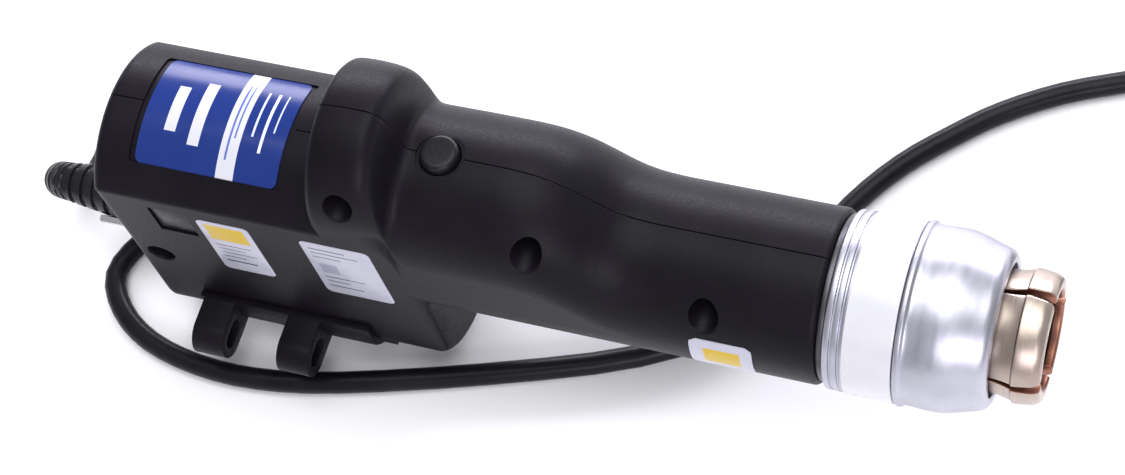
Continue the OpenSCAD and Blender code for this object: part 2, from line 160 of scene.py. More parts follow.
M_SHELL = plastic("shell_black", (0.0042, 0.0034, 0.0056), (0.0068, 0.0056, 0.0088), 0.36, 0.50, spec=0.10)
M_TRIM = plastic("trim_black", (0.006, 0.006, 0.008), (0.011, 0.010, 0.013), 0.26, 0.38, 1400.0, 0.2, spec=0.18)
M_CABLE = plastic("cable_black", (0.005, 0.005, 0.007), (0.010, 0.010, 0.013), 0.28, 0.40, 900.0, 0.22, 0.00005, 0.13)
M_PLUG = plastic("plug_black", (0.006, 0.006, 0.008), (0.012, 0.012, 0.014), 0.20, 0.34, 700.0, 0.25, 0.00006, 0.22)
M_ALLOY = metal("alloy_satin", (0.37, 0.37, 0.42), (0.45, 0.45, 0.51), 0.33, 0.42, (700.0, 60.0, 60.0), 0.05, 0.00001)
M_STEEL = metal("steel_ground", (0.42, 0.42, 0.44), (0.58, 0.58, 0.60), 0.22, 0.38)
M_DARK = metal("steel_dark", (0.05, 0.05, 0.055), (0.10, 0.10, 0.11), 0.3, 0.5)
M_FRAME = metal("frame_grey", (0.30, 0.31, 0.33), (0.42, 0.43, 0.45), 0.35, 0.5)
M_BRASS = metal("gear_brass", (0.50, 0.36, 0.13), (0.66, 0.50, 0.22), 0.25, 0.4)
M_TAN = metal("jaw_tan", (0.33, 0.27, 0.23), (0.44, 0.37, 0.32), 0.26, 0.40, (5000.0, 90.0, 90.0), 0.1)
M_COPPER = metal("jaw_copper", (0.20, 0.085, 0.055), (0.34, 0.17, 0.12), 0.30, 0.46, (4000.0, 200.0, 200.0), 0.15)
M_WHITE = plastic("band_white", (0.54, 0.54, 0.58), (0.60, 0.60, 0.64), 0.20, 0.28, 600.0, 0.05, 0.00002)
M_BOARD = plastic("board_green", (0.01, 0.09, 0.03), (0.02, 0.14, 0.05), 0.3, 0.45)
M_EDGE = plastic("label_edge", (0.55, 0.55, 0.62), (0.66, 0.66, 0.72), 0.3, 0.4)

slot_mats = {
    "shell": M_SHELL, "bracket": M_SHELL, "black_trim": M_TRIM, "cable_jacket": M_CABLE,
    "label_blue": M_WHITE, "label_pale": M_WHITE, "band_white": M_WHITE, "alloy": M_ALLOY,
    "steel": M_STEEL, "dark_steel": M_DARK, "cast_frame": M_FRAME, "jaw_metal": M_TAN,
    "gear_brass": M_BRASS, "board": M_BOARD}
for sp in frame["record"]["subparts"]:
    o = NODES.get(sp["node"])
    if o is not None:
        o.data.materials.clear()
        o.data.materials.append(slot_mats[sp["material_slot"]])


def label_mat(name, base, items, gloss=(0.16, 0.24)):
    """items: (u0, u1, v0, v1, colour) rectangles painted over base, in the label's own 0..1 plane."""
    m, nt, b = new_mat(name)
    uv = nt.nodes.new("ShaderNodeUVMap")
    uv.uv_map = "UVMap"
    sep = nt.nodes.new("ShaderNodeSeparateXYZ")
    nt.links.new(uv.outputs["UV"], sep.inputs["Vector"])
    tone = noise(nt, coords(nt), 120.0, 3.0)
    col = ramp(nt, tone, [(0.3, tuple(c * 0.93 for c in base)), (0.7, base)])

    def math_node(op, a, val):
        n = nt.nodes.new("ShaderNodeMath")
        n.operation = op
        for k, x in enumerate((a, val)):
            if isinstance(x, (int, float)):
                n.inputs[k].default_value = x
            else:
                nt.links.new(x, n.inputs[k])
        return n.outputs["Value"]

    for u0, u1, v0, v1, c in items:
        f = math_node("MULTIPLY", math_node("MULTIPLY", math_node("GREATER_THAN", sep.outputs["X"], u0),
                                            math_node("LESS_THAN", sep.outputs["X"], u1)),
                      math_node("MULTIPLY", math_node("GREATER_THAN", sep.outputs["Y"], v0),
                                math_node("LESS_THAN", sep.outputs["Y"], v1)))
        mix = nt.nodes.new("ShaderNodeMix")
        mix.data_type = "RGBA"
        nt.links.new(f, mix.inputs["Factor"])
        nt.links.new(col, mix.inputs["A"])
        mix.inputs["B"].default_value = (*c, 1.0)
        col = mix.outputs["Result"]
    nt.links.new(col, b.inputs["Base Color"])
    nt.links.new(rng(nt, tone, *gloss), b.inputs["Roughness"])
    b.inputs["Specular IOR Level"].default_value = 0.22
    return m


# ------------------------------------------------------------------ mesh helpers
def obj_from(name, verts, faces, mats, body="tool", replaces=(), smooth=35.0, uvs=None, mat_idx=None):
    me = bpy.data.meshes.new(name)
    me.from_pydata([tuple(float(c) for c in v) for v in verts], [], [tuple(int(i) for i in f) for f in faces])
    me.update()
    for m in mats if isinstance(mats, (list, tuple)) else [mats]:
        me.materials.append(m)
    if mat_idx is not None:
        for p, k in zip(me.polygons, mat_idx):
            p.material_index = k
    if uvs is not None:
        lay = me.uv_layers.new(name="UVMap")
        for li, l in enumerate(me.loops):
            lay.data[li].uv = uvs[l.vertex_index]
    o = bpy.data.objects.new(name, me)
    bpy.context.scene.collection.objects.link(o)
    shade(o, smooth)
    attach(o, body)
    if replaces:
        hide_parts(*replaces)
    return o


def shade(o, angle=35.0):
    bm = bmesh.new()
    bm.from_mesh(o.data)
    bmesh.ops.recalc_face_normals(bm, faces=bm.faces)
    lim = angle * RAD
    for f in bm.faces:
        f.smooth = True
    for e in bm.edges:
        if len(e.link_faces) == 2:
            e.smooth = e.calc_face_angle(0.0) < lim
    bm.to_mesh(o.data)
    bm.free()


def apply_mods(o):
    dg = bpy.context.evaluated_depsgraph_get()
    me = bpy.data.meshes.new_from_object(o.evaluated_get(dg), depsgraph=dg)
    old = o.data
    o.modifiers.clear()
    o.data = me
    if old.users == 0:
        bpy.data.meshes.remove(old)


def scratch(name, verts, faces):
    me = bpy.data.meshes.new(name)
    me.from_pydata([tuple(float(c) for c in v) for v in verts], [], [tuple(int(i) for i in f) for f in faces])
    o = bpy.data.objects.new(name, me)
    bpy.context.scene.collection.objects.link(o)
    bm = bmesh.new()
    bm.from_mesh(me)
    bmesh.ops.recalc_face_normals(bm, faces=bm.faces)
    bm.to_mesh(me)
    bm.free()
    return o


def cut(o, cutter, op="DIFFERENCE"):
    mod = o.modifiers.new("b", "BOOLEAN")
    mod.operation = op
    mod.solver = "EXACT"
    mod.object = cutter
    apply_mods(o)
    bpy.data.objects.remove(cutter)


def bevel(o, width, segs=2, angle=30.0):
    mod = o.modifiers.new("bev", "BEVEL")
    mod.width = width / 1000.0
    mod.segments = segs
    mod.limit_method = "ANGLE"
    mod.angle_limit = angle * RAD
    mod.harden_normals = False
    apply_mods(o)
    shade(o, 40.0)


def refine(node, width, segs=2, angle=30.0, mats=None, body=None, name=None):
    """A piece with the CAD node's own shape, its edges rounded."""
    src = NODES[node]
    me = src.data.copy()
    name = name or node + "_look"
    me.name = name
    o = bpy.data.objects.new(name, me)
    bpy.context.scene.collection.objects.link(o)
    bm = bmesh.new()
    bm.from_mesh(me)
    bmesh.ops.remove_doubles(bm, verts=bm.verts, dist=0.000004)
    bmesh.ops.dissolve_limit(bm, angle_limit=1.2 * RAD, verts=bm.verts, edges=bm.edges)
    bm.to_mesh(me)
    bm.free()
    if mats:
        me.materials.clear()
        me.materials.append(mats)
    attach(o, body or "tool")
    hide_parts(node)
    bevel(o, width, segs, angle)
    return o


def lathe(name, profile, mat, segs=128, body="tool", replaces=(), closed=True, smooth=30.0):
    """profile: (radius, x) in millimetres, a closed loop turned about the barrel axis."""
    n, verts, faces = len(profile), [], []
    for i in range(segs):
        a = 2 * math.pi * i / segs
        for r, x in profile:
            verts.append(P(x, -r * math.sin(a), r * math.cos(a)))
    last = n if closed else n - 1
    for i in range(segs):
        j = (i + 1) % segs
        for k in range(last):
            l = (k + 1) % n
            faces.append((i * n + k, j * n + k, j * n + l, i * n + l))
    return obj_from(name, verts, faces, mat, body, replaces, smooth)


def fillet(points, steps=4):
    """points: (r, x, radius). Rounds each corner of a closed profile."""
    out, n = [], len(points)
    for i in range(n):
        p = np.array(points[i][:2], float)
        a = np.array(points[i - 1][:2], float) - p
        b = np.array(points[(i + 1) % n][:2], float) - p
        rad = points[i][2]
        la, lb = np.linalg.norm(a), np.linalg.norm(b)
        if rad <= 0:
            out.append(tuple(p))
            continue
        a, b = a / la, b / lb
        d = min(rad, la * 0.45, lb * 0.45)
        for s in range(steps + 1):
            t = s / steps
            q = p + a * d * (1 - t) ** 2 + b * d * t ** 2
            out.append(tuple(q))
    return out


# ------------------------------------------------------------------ cable first
CABLE_D = 5.4
cz = -48.0 + CABLE_D / 2
route = [(-136.5, 3.2, -32.8), (-136.5, 5.6, -38), (-136.6, 10, -42.4), (-136.8, 16, -44.8),
         (-137, 24, cz), (-133.5, 35, cz), (-125, 42, cz), (-113, 43, cz), (-103.5, 37, cz),
         (-99.5, 26, cz), (-102, 15, cz), (-109.5, 5.5, cz), (-118, -3.5, cz), (-121.5, -13.7, cz),
         (-116, -22.6, cz), (-106, -28.8, cz), (-92, -32, cz), (-76, -32.2, cz), (-55.5, -28.6, cz),
         (-20, -18.2, cz), (14, -5.8, cz), (34, 8, cz), (45, 26, cz), (53, 43, cz), (62, 56, cz),
         (72, 66, cz), (82, 74.5, cz), (95, 82.5, cz), (109, 88.5, cz), (122, 93.8, cz), (135, 99, cz)]
COIL_C, COIL_R = (161.1, 71.4), 30.0


def catmull(pts, n):
    pts = [np.array(p, float) for p in pts]
    out = []
    m = len(pts) - 1
    for i in range(m):
        p0, p1, p2, p3 = pts[max(0, i - 1)], pts[i], pts[i + 1], pts[min(m, i + 2)]
        for j in range(n):
            t = j / n
            out.append(0.5 * (2 * p1 + (p2 - p0) * t + (2 * p0 - 5 * p1 + 4 * p2 - p3) * t * t
                              + (3 * p1 - p0 - 3 * p2 + p3) * t ** 3))
    out.append(pts[-1])
    return out


def build_cable():
    path = [tuple(p) for p in catmull(route, 3)]
    # the outer turn starts where the run meets the coil, at its tangent point
    cx, cy = COIL_C
    d = CABLE_D
    r_out, r_mid, r_in = COIL_R + d, COIL_R, COIL_R - d
    a0 = math.atan2(99 + 5.2 - cy, 135 + 12.3 - cx)
    z1, z2 = -48 + d / 2, -48 + 1.5 * d
    turns = [(r_out, z1), (r_mid, z1), (r_in, z1), (r_in, z2), (r_mid, z2), (r_out, z2)]
    n = 28
    a = a0
    ang = []
    for k, (r, z) in enumerate(turns):
        nxt = turns[k + 1] if k + 1 < len(turns) else (r, z)
        total = n if k + 1 < len(turns) else int(n * (a0 / (2 * math.pi)) + 0.5)
        span = 2 * math.pi if k + 1 < len(turns) else a0
        for i in range(total):
            f = i / total
            g = max(0.0, (f - 0.72) / 0.28) if k + 1 < len(turns) else 0.0
            g = g * g * (3 - 2 * g)
            rr, zz = r + (nxt[0] - r) * g, z + (nxt[1] - z) * g
            th = a - span * f
            ang.append((cx + rr * math.cos(th), cy + rr * math.sin(th), zz))
        a -= span
    path += ang
    px = cx + r_out
    path += [(px, cy, z2), (px, cy - 5, z2 - 0.15), (px, cy - 10, z2 - 0.7), (px, cy - 15, z2 - 1.45), (px, cy - 20, -42.0), (px, cy - 26, -42.0), (px, cy - 33, -42.0)]
    cu = bpy.data.curves.new("cable_run", "CURVE")
    cu.dimensions = "3D"
    cu.bevel_depth = CABLE_D / 2000.0
    cu.bevel_resolution = 6
    cu.use_fill_caps = True
    sp = cu.splines.new("POLY")
    sp.points.add(len(path) - 1)
    for q, p in zip(sp.points, path):
        q.co = (*P(*p), 1.0)
    sp.use_smooth = True
    cu.materials.append(M_CABLE)
    o = bpy.data.objects.new("cable_run", cu)
    bpy.context.scene.collection.objects.link(o)
    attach(o, "tool")
    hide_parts("cable", "cable_coil")
    length = sum(np.linalg.norm(np.array(path[i + 1]) - np.array(path[i])) for i in range(len(path) - 1))
    return o, length / 1000.0, path


cable, cable_len, cable_path = build_cable()
print("cable length", round(cable_len, 4))


def tube_rings(path, radii, segs=40):
    pts = [np.array(p, float) for p in path]
    n = len(pts)
    ref = np.array((0.0, 0.0, 1.0))
    verts, faces = [], []
    t_prev = None
    s = None
    for i in range(n):
        t = pts[min(n - 1, i + 1)] - pts[max(0, i - 1)]
        t = t / np.linalg.norm(t)
        if s is None:
            s = np.cross(t, ref)
            if np.linalg.norm(s) < 0.2:
                s = np.cross(t, (1.0, 0, 0))
        s = s - t * np.dot(s, t)
        s = s / np.linalg.norm(s)
        u = np.cross(s, t)
        for k in range(segs):
            a = 2 * math.pi * k / segs
            verts.append(P(*(pts[i] + radii[i] * (math.cos(a) * s + math.sin(a) * u))))
    for i in range(n - 1):
        for k in range(segs):
            l = (k + 1) % segs
            faces.append((i * segs + k, i * segs + l, (i + 1) * segs + l, (i + 1) * segs + k))
    faces.append(tuple(range(segs - 1, -1, -1)))
    faces.append(tuple((n - 1) * segs + k for k in range(segs)))
    return verts, faces


def build_plug():
    """Round plug, then a ribbed strain relief that turns down at its end."""
    bz = -24.5
    path, rad = [], []

    def add(x, r):
        path.append((x, 0.0, bz))
        rad.append(r)
    for x, r in [(-98.4, 4.3), (-102.3, 4.3), (-102.35, 6.9), (-102.8, 7.2), (-106.0, 7.2), (-106.2, 6.8), (-107.2, 6.8),
                 (-107.4, 7.2), (-115.2, 7.2), (-115.8, 7.05), (-116.2, 6.75)]:
        add(x, r)
    x = -116.4
    while x > -130.1:
        base = 6.7 - 1.75 * (-116.4 - x) / 13.8
        ph = (-116.4 - x) % 3.4
        add(x, base - (0.7 if 2.0 < ph < 3.25 else 0.0))
        x -= 0.3
    turn = 23 * RAD
    u = np.array((0.0, math.sin(turn), -math.cos(turn)))
    c = np.array((-130.2, 0.0, bz)) + 6.3 * u
    n = 60
    for i in range(1, n + 1):
        a = (math.pi / 2) * i / n
        path.append(tuple(c - 6.3 * u * math.cos(a) + np.array((-6.3, 0, 0)) * math.sin(a)))
        ph = (i * 6.3 * (math.pi / 2) / n) % 1.35
        rad.append(4.85 - 0.45 * i / n - (0.34 if 0.85 < ph < 1.32 else 0.0))
    end = np.array(path[-1])
    for k in range(1, 11):
        path.append(tuple(end + u * 0.39 * k))
        rad.append(4.2 - 0.08 * k if k < 10 else 2.95)
    v, f = tube_rings(path, rad, 48)
    return obj_from("plug_strain_relief", v, f, M_PLUG, "tool", ("power_plug",), 50.0)


plug = build_plug()


def build_latch():
    """Flat latch bar along the lower side of the plug."""
    d = np.array((-0.8988, -0.4384))
    e = np.array((0.4384, -0.8988))
    sec = []
    for (cx, cy, a0) in ((1.9, 7.9, 0), (-1.9, 7.9, 90)):
        for k in range(6):
            a = (a0 + 90 * k / 5) * RAD
            sec.append((cx + 0.6 * math.cos(a), cy - 0.4 + 0.5 * math.sin(a)))
    sec += [(-2.5, 6.3), (2.5, 6.3)]
    n = len(sec)
    verts, faces = [], []
    for x, k in ((-121.4, 0.86), (-121.0, 1.0), (-104.6, 1.0)):
        for t, r in sec:
            q = d * (6.3 + (r - 6.3) * k) + e * t * k
            verts.append(P(x, q[0], -24.5 + q[1]))
    for i in range(2):
        for k in range(n):
            l = (k + 1) % n
            faces.append((i * n + k, i * n + l, (i + 1) * n + l, (i + 1) * n + k))
    faces.append(tuple(range(n)))
    faces.append(tuple(2 * n + k for k in range(n)))
    return obj_from("plug_latch", verts, faces, M_STEEL, "tool", (), 40.0)


latch = build_latch()


def build_far_plug():
    px, py, z = COIL_C[0] + COIL_R + CABLE_D, COIL_C[1] - 24.0, -42.0
    path, rad = [], []
    for d, r in [(0.0, 2.8), (0.05, 3.1)]:
        path.append((px, py - d, z)); rad.append(r)
    d = 0.3
    while d < 14:
        ph = d % 2.2
        path.append((px, py - d, z)); rad.append(3.15 + 0.65 * d / 14 - (0.3 if 1.3 < ph < 2.1 else 0))
        d += 0.25
    for d, r in [(14.0, 3.8), (14.1, 5.3), (14.6, 5.8), (15.4, 6.0), (24, 6.0), (24.2, 5.7), (25.4, 5.7), (25.6, 6.0),
                 (34.6, 6.0), (35.6, 5.7), (36.0, 5.2), (36.05, 2.8), (45.5, 2.8), (46.0, 2.4)]:
        path.append((px, py - d, z)); rad.append(r)
    v, f = tube_rings(path, rad, 40)
    return obj_from("far_plug_body", v, f, M_PLUG, "tool", ("supply_plug",), 50.0)


far_plug = build_far_plug()


def build_tie():
    """A flat strap around the turns of the coil."""
    cx, cy = COIL_C
    th = 215 * RAD
    er = np.array((math.cos(th), math.sin(th)))
    et = np.array((-math.sin(th), math.cos(th)))
    w, h0, h1, c = 1.5 * CABLE_D + 0.5, -47.95, -48 + 2 * CABLE_D + 0.5, 2.2
    loop = []
    corners = [(-w, h0), (w, h0), (w, h1), (-w, h1)]
    for i, (a, b) in enumerate(corners):
        pa, nb = corners[i - 1], corners[(i + 1) % 4]
        for s in range(7):
            t = s / 6
            d0 = (np.array(pa) - (a, b)); d0 = d0 / np.linalg.norm(d0) * c
            d1 = (np.array(nb) - (a, b)); d1 = d1 / np.linalg.norm(d1) * c
            loop.append(np.array((a, b)) + d0 * (1 - t) ** 2 + d1 * t ** 2)
    n = len(loop)
    verts, faces = [], []
    for off, inn in ((-4.0, 0.0), (4.0, 0.0), (4.0, 0.4), (-4.0, 0.4)):
        for (r, z) in loop:
            k = 1 - inn / max(w, 1)
            rr, zz = r * k, (z - (h0 + h1) / 2) * (1 - inn / 5.4) + (h0 + h1) / 2
            q = er * (COIL_R + rr) + et * off
            verts.append(P(cx + q[0], cy + q[1], zz))
    for s in range(4):
        t = (s + 1) % 4
        for k in range(n):
            l = (k + 1) % n
            faces.append((s * n + k, s * n + l, t * n + l, t * n + k))
    return obj_from("coil_tie", verts, faces, M_TRIM, "tool", (), 40.0)


tie = build_tie()

# ------------------------------------------------------------------ housing shells
W0, WALL, BR, BZ = 19.5, 2.4, 21.5, -24.5
CZ = -0.2                    # every section is described by its radius about (0, CZ)
X_COLLAR, RIM = -45.0, 1.9   # rear face of the collar and the rounding of its rim
X_BELLY, BELLY_R, BELLY_C = -27.4, 2.3, 1.2
# crown of the collar and grip: x, crown radius, spine height, crown angle, knee z
CROWN = [
    (-45.0, 20.2, 47.3, 97, 18), (-43.0, 20.3, 47.7, 97, 18.2), (-40.0, 20.2, 48.1, 97, 18.5),
    (-37.5, 20.0, 48.24, 97, 18.5), (-35.0, 19.7, 48.26, 97, 18.5), (-33.5, 19.4, 48.2, 97, 18.4),
    (-32.3, 19.1, 47.95, 97, 18.2), (-31.3, 18.8, 47.35, 97, 18), (-30.5, 18.5, 46.3, 97, 17.2),
    (-29.9, 18.3, 44.6, 96, 16), (-29.5, 18.3, 42.2, 96, 14), (-29.2, 18.45, 39.2, 95, 11),
    (-28.95, 18.7, 36.9, 93, 8.5), (-28.5, 19.0, 35.0, 92, 7), (-27.8, 19.25, 33.95, 91, 6),
    (-26.6, 19.42, 33.45, 90, 5), (-25.0, W0, 33.35, 90, 5), (-22.0, W0, 33.4, 90, 5),
    (-16.0, W0, 33.5, 90, 5), (-8.0, W0, 33.45, 90, 5), (-5.0, W0, 33.4, 90, 5), (-2.0, W0, 33.15, 90, 5),
    (0.5, W0, 32.75, 90, 5), (3.0, W0, 32.05, 90, 5), (7.0, W0, 30.15, 90, 4), (11.0, W0, 27.2, 90, 3),
    (15.0, W0, 23.85, 90, 1.5), (19.0, W0, 21.4, 90, 0.6), (23.0, W0, 20.2, 90, 0.2),
    (29.0, W0, 19.7, 90, 0), (46.0, W0, 19.7, 90, 0), (65.0, W0, 19.7, 90, 0)]
TH = np.linspace(math.pi / 2, -math.pi / 2, 181)


def half_outline(rt, zt, al, knee, rb, zb):
    """Points of a half section from spine to belly as (y, z)."""
    pts = []
    for k in range(91):
        a = al * RAD * k / 90
        pts.append((rt * math.sin(a), zt + rt * math.cos(a)))
    b0 = math.asin(min(1.0, W0 / rb))
    ze = zb - rb * math.cos(b0)
    y0, z0 = pts[-1]
    knee = min(knee, z0 - 0.01)
    for k in range(1, 13):
        q = k / 12
        e = q * q * (3 - 2 * q)
        pts.append((y0 + (W0 - y0) * e, z0 + (knee - z0) * q))
    for k in range(1, 241):
        pts.append((W0, knee + (ze - knee) * k / 240))
    for k in range(1, 61):
        b = b0 * (1 - k / 60)
        pts.append((rb * math.sin(b), zb - rb * math.cos(b)))
    return pts


def polar(pts):
    y, z = np.array(pts).T
    th = np.arctan2(z - CZ, y)
    r = np.hypot(y, z - CZ)
    o = np.argsort(th)
    # rays through straight stretches are cut exactly, so densify before reading off
    t = np.linspace(0, 1, 9)[:-1]
    yy = np.concatenate([y[i] + (y[i + 1] - y[i]) * t for i in range(len(y) - 1)] + [y[-1:]])
    zz = np.concatenate([z[i] + (z[i + 1] - z[i]) * t for i in range(len(z) - 1)] + [z[-1:]])
    th, r = np.arctan2(zz - CZ, yy), np.hypot(yy, zz - CZ)
    o = np.argsort(th)
    return np.interp(TH, th[o], r[o])


def pchip_at(xs, ys, x):
    xs, ys = np.array(xs, float), np.array(ys, float)
    h, d = np.diff(xs), np.diff(ys) / np.diff(xs)
    s = np.zeros(len(xs))
    for i in range(1, len(xs) - 1):
        if d[i - 1] * d[i] > 0:
            w1, w2 = 2 * h[i] + h[i - 1], h[i] + 2 * h[i - 1]
            s[i] = (w1 + w2) / (w1 / d[i - 1] + w2 / d[i])
    s[0], s[-1] = d[0], d[-1]
    i = int(np.clip(np.searchsorted(xs, x) - 1, 0, len(h) - 1))
    t = (x - xs[i]) / h[i]
    return ((2 * t ** 3 - 3 * t ** 2 + 1) * ys[i] + (t ** 3 - 2 * t ** 2 + t) * h[i] * s[i]
            + (-2 * t ** 3 + 3 * t ** 2) * ys[i + 1] + (t ** 3 - t ** 2) * h[i] * s[i + 1])


R_REAR = polar(half_outline(24.6, 7.4, math.degrees(math.asin(W0 / 24.6)), 8, BR, BZ))
CX = [c[0] for c in CROWN]
UP, LOW = TH >= 0, TH < 0


def crown_polar(x):
    rt, h, al, kn = (pchip_at(CX, [c[k] for c in CROWN], x) for k in (1, 2, 3, 4))
    return polar(half_outline(rt, h - rt, al, kn, BR, BZ))


def full_section(x):
    """Outer radius at every angle, without the rounding of the two ends."""
    r = R_REAR.copy()
    if x >= X_COLLAR:
        c = crown_polar(x)
        inset = 0.0
        if x < X_COLLAR + RIM:
            q = 1 - (x - X_COLLAR) / RIM
            inset = RIM * (1 - math.sqrt(max(0.0, 1 - q * q)))
        up = c - inset
        if x < X_COLLAR + 6:
            up = np.maximum(up, np.minimum(R_REAR, c))
        r[UP] = up[UP]
    if x > X_BELLY - BELLY_R:
        if x <= X_BELLY:
            q = (x - (X_BELLY - BELLY_R)) / BELLY_R
            low = R_REAR - BELLY_R * (1 - math.sqrt(max(0.0, 1 - q * q)))
        elif x < X_BELLY + BELLY_C:
            q = 1 - (x - X_BELLY) / BELLY_C
            low = np.minimum(R_REAR - BELLY_R, W0 + BELLY_C * (1 - math.sqrt(max(0.0, 1 - q * q))))
        else:
            low = np.full_like(TH, W0)
        low = np.maximum(low, W0)
        r[LOW] = low[LOW]
    return r


def end_inset(x):
    if x < -98.3:
        q = min(1.0, (-98.3 - x) / 2.4)
        return 2.4 * (1 - math.sqrt(1 - q * q))
    if x > 63.8:
        q = min(1.0, (x - 63.8) / 1.2)
        return 1.2 * (1 - math.sqrt(1 - q * q))
    return 0.0


def stations():
    xs = [-98.3 - 2.4 * math.sin(k * math.pi / 20) for k in range(10, -1, -1)]
    xs += [-97.5, -95, -92, -88, -84, -80, -75, -70, -65, -60, -56, -52, -49, -47, -45.6, -45.1, -45.004]
    xs += [-45.0 + RIM * (1 - math.cos(k * math.pi / 20)) for k in range(0, 11)]
    xs += list(np.arange(-42.8, -34, 0.55)) + list(np.arange(-34, -31.2, 0.35)) + list(np.arange(-31.2, -27.0, 0.12))
    xs += [X_BELLY - BELLY_R * math.cos(k * math.pi / 20) for k in range(0, 11)]
    xs += [X_BELLY + 0.004] + [X_BELLY + BELLY_C * (1 - math.cos(k * math.pi / 16)) for k in range(1, 9)]
    xs += list(np.arange(-26, 30, 0.9)) + list(np.arange(30, 63, 2.4)) + [63.4]
    xs += [63.8 + 1.2 * math.sin(k * math.pi / 16) for k in range(0, 9)]
    xs = sorted(xs)
    out = [xs[0]]
    for x in xs[1:]:
        if x - out[-1] > 0.0035:
            out.append(float(x))
    return out


XS = stations()
RF = np.array([full_section(x) for x in XS])
COS, SIN = np.cos(TH), np.sin(TH)


def build_shell_mesh(side):
    xs = np.array(XS)
    outer, inner = [], []
    for i, x in enumerate(xs):
        r = RF[i] - end_inset(x)
        pts = [(float(rr * c), float(CZ + rr * s)) for rr, c, s in zip(r, COS, SIN)]
        top, bot = pts[0][1], pts[-1][1]
        mid = [p for p in pts[1:-1] if p[0] > 0.30]
        drop = len(pts) - 2 - len(mid)
        head = [(0.0, top - 0.45), (0.06, top - 0.30), (0.13, top - 0.09), (0.24, top - 0.008)]
        foot = [(0.24, bot + 0.008), (0.13, bot + 0.09), (0.06, bot + 0.30), (0.0, bot + 0.45)]
        outer.append([(x, side * y, z) for y, z in head + pts[1:-1] + foot])
        near = np.abs(xs - x) <= 2.3
        q = RF[near].min(axis=0) - 2.35
        xi = min(max(x, -98.3), 65.0)
        pin = [(float(rr * c), float(CZ + rr * s)) for rr, c, s in zip(q, COS, SIN)]
        t2, b2 = pin[0][1], pin[-1][1]
        hd = [(0.0, t2), (0.06, t2), (0.13, t2), (0.2, t2)]
        ft = [(0.2, b2), (0.13, b2), (0.06, b2), (0.0, b2)]
        inner.append([(xi, side * y, z) for y, z in hd + pin[1:-1] + ft])
    last = -1e9
    for ring in inner:
        x = max(ring[0][0], last + 0.0015)
        last = x
        for k, p in enumerate(ring):
            ring[k] = (x, p[1], p[2])
    n, m = len(outer[0]), len(outer)
    verts = [P(*p) for ring in outer for p in ring] + [P(*p) for ring in inner for p in ring]
    no = n * m
    faces = []
    for i in range(m - 1):
        for k in range(n - 1):
            faces.append((i * n + k, (i + 1) * n + k, (i + 1) * n + k + 1, i * n + k + 1))
            faces.append((no + i * n + k, no + i * n + k + 1, no + (i + 1) * n + k + 1, no + (i + 1) * n + k))
        for k in (0, n - 1):
            faces.append((i * n + k, no + i * n + k, no + (i + 1) * n + k, (i + 1) * n + k))
    for k in range(n - 1):
        a, b = (m - 1) * n + k, no + (m - 1) * n + k
        faces.append((a, b, b + 1, a + 1))
    faces.append(tuple(range(n)))
    faces.append(tuple(no + k for k in range(n - 1, -1, -1)))
    faces.append((0, n - 1, no + n - 1, no))
    return verts, faces


def cyl(x, z, r, y0, y1, segs=64, axis="y", r2=None):
    verts, faces = [], []
    for j, (t, rr) in enumerate(((y0, r), (y1, r if r2 is None else r2))):
        for i in range(segs):
            a = 2 * math.pi * i / segs
            c, s = rr * math.cos(a), rr * math.sin(a)
            verts.append(P(x + c, t, z + s) if axis == "y" else P(x + c, z + s, t))
    for i in range(segs):
        k = (i + 1) % segs
        faces.append((i, k, segs + k, segs + i))
    faces.append(tuple(range(segs - 1, -1, -1)))
    faces.append(tuple(range(segs, 2 * segs)))
    return verts, faces


def boxmesh(a, b):
    xs, ys, zs = zip(a, b)
    v = [P(x, y, z) for x in xs for y in ys for z in zs]
    f = [(0, 1, 3, 2), (4, 6, 7, 5), (0, 4, 5, 1), (2, 3, 7, 6), (0, 2, 6, 4), (1, 5, 7, 3)]
    return v, f


def curved_slab(x0, x1, ymax, r0, r1, zc, corner, rows=28, cols=14):
    """A rounded rectangle wrapped on a cylinder about the X axis. Returns verts, faces, uvs."""
    half = math.asin(ymax / r1) * r1
    levels = set(-half + 2 * half * k / rows for k in range(rows + 1))
    for k in range(1, 8):
        t = corner * (1 - math.cos(math.pi / 2 * k / 8))
        levels |= {-half + t, half - t}
    levels = sorted(levels)
    verts, uvs = [], []
    for r in (r1, r0):
        for v in levels:
            dz = half - abs(v)
            ins = 0.0 if dz >= corner else corner - math.sqrt(max(0.0, corner ** 2 - (corner - dz) ** 2))
            for c in range(cols + 1):
                x = x0 + ins + (x1 - x0 - 2 * ins) * c / cols
                th = v / r1
                verts.append(P(x, -r * math.sin(th), zc + r * math.cos(th)))
                uvs.append(((x - x0) / (x1 - x0), (v + half) / (2 * half)))
    n, m = cols + 1, len(levels)
    faces = []
    off = n * m
    for i in range(m - 1):
        for c in range(cols):
            faces.append((i * n + c, i * n + c + 1, (i + 1) * n + c + 1, (i + 1) * n + c))
            faces.append((off + i * n + c, off + (i + 1) * n + c, off + (i + 1) * n + c + 1, off + i * n + c + 1))
        for c in (0, cols):
            faces.append((i * n + c, (i + 1) * n + c, off + (i + 1) * n + c, off + i * n + c))
    for i in (0, m - 1):
        for c in range(cols):
            faces.append((i * n + c, off + i * n + c, off + i * n + c + 1, i * n + c + 1))
    return verts, faces, uvs


SCREWS = [(-93.7, -8.4), (-37.0, 36.0), (2.5, 24.3), (40.5, 11.5)]


def side_y(x, z):
    """Half width of the body at x, z."""
    i = int(np.clip(np.searchsorted(XS, x), 1, len(XS) - 1))
    t = (x - XS[i - 1]) / (XS[i] - XS[i - 1])
    r = RF[i - 1] + (RF[i] - RF[i - 1]) * t
    zz = CZ + r * SIN
    return float(np.interp(-z, -zz, r * COS))


